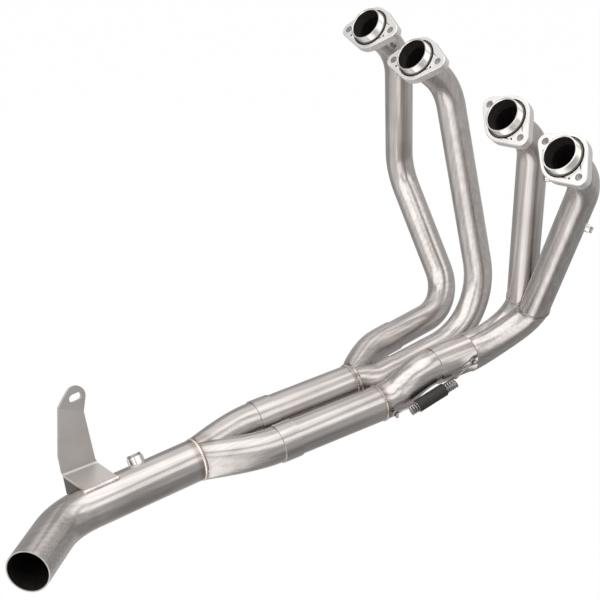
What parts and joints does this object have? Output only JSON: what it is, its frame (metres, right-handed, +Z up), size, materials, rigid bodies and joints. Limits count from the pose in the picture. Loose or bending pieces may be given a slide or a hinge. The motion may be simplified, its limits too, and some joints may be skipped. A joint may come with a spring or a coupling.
{
  "type": "motorcycle exhaust header",
  "caption": "Stainless exhaust header for an in-line engine: bent tubes with bolted flanges merge in pairs, then into an outlet pipe with a slotted bracket.",
  "frame": {"origin": "middle of the row of ports, on the plane of the flange faces", "axes": "+X forward on the motorcycle, +Y to its left, +Z up"},
  "size_m": [0.7042, 0.4419, 0.3885],
  "materials": {
    "tube": "satin",
    "machined_flange": "satin",
    "turned_collar": "turned",
    "weld": "as welded",
    "boss": "turned",
    "screw": "plain",
    "bracket_sheet": "matt",
    "hook": "plain",
    "spring_wire": "plain",
    "rubber_sleeve": "matt"
  },
  "bodies": {
    "root": {"flange_1": "machined_flange", "flange_2": "machined_flange", "flange_3": "machined_flange", "flange_4": "machined_flange", "collar_1": "turned_collar", "collar_2": "turned_collar", "collar_3": "turned_collar", "collar_4": "turned_collar", "collar_welds": "weld", "header_tube_1": "tube", "header_tube_2": "tube", "header_tube_3": "tube", "header_tube_4": "tube", "sampling_bosses": "boss", "sampling_screws": "screw", "left_merge": "tube", "right_merge": "tube", "right_link_pipe": "tube", "left_secondary_pipe": "tube", "right_secondary_pipe": "tube", "collector": "tube", "outlet_pipe": "tube", "sensor_boss": "boss", "sensor_plug": "screw", "left_merge_weld": "weld", "right_link_weld": "weld", "collector_weld": "weld", "right_merge_weld": "weld", "bracket": "bracket_sheet", "bracket_weld": "weld", "spring_hook_front": "hook", "spring_hook_rear": "hook", "spring": "spring_wire", "spring_sleeve": "rubber_sleeve"}
  },
  "joints": []
}
